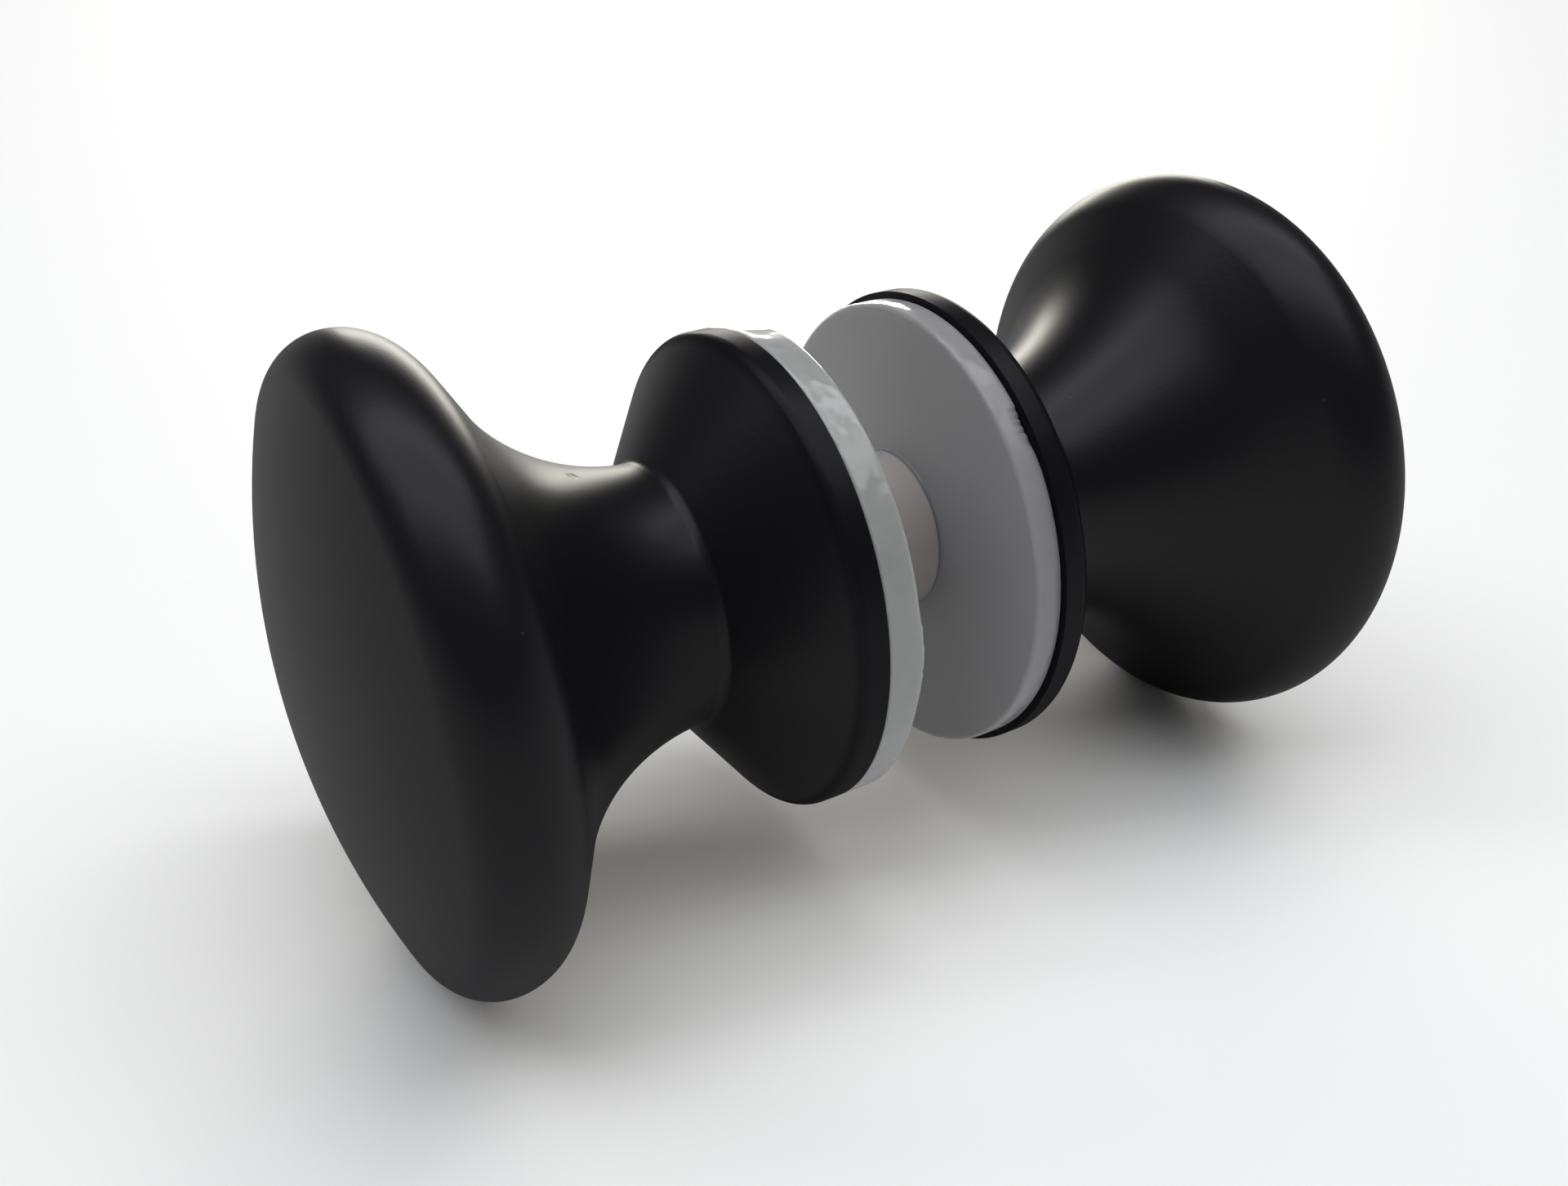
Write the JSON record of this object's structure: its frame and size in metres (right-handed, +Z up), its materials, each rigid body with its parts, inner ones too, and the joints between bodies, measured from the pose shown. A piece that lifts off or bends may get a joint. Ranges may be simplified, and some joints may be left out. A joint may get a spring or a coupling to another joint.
{
  "type": "shower door handle",
  "caption": "Back-to-back round trumpet knobs in satin black for a glass shower door, with plastic washers, a sleeve through the glass and a hidden threaded stud.",
  "frame": {"origin": "on the common axis of the knobs, midway between their seats and so at the middle of the set's length", "axes": "+Y along the common axis from the outer knob to the inner knob, +Z up, +X across the door's face"},
  "size_m": [0.0408, 0.0748, 0.0408],
  "materials": {
    "knob_coating": "satin black coating with a faint dust of fine specks",
    "washer_plastic": "translucent grey-white plastic with a slightly glossy cut edge",
    "sleeve_plastic": "translucent warm grey plastic",
    "stud_steel": "bright zinc plated thread"
  },
  "bodies": {
    "root": {"outer_knob": "knob_coating", "inner_knob": "knob_coating", "outer_washer": "washer_plastic", "inner_washer": "washer_plastic", "spacer_sleeve": "sleeve_plastic", "threaded_stud": "stud_steel"}
  },
  "joints": []
}
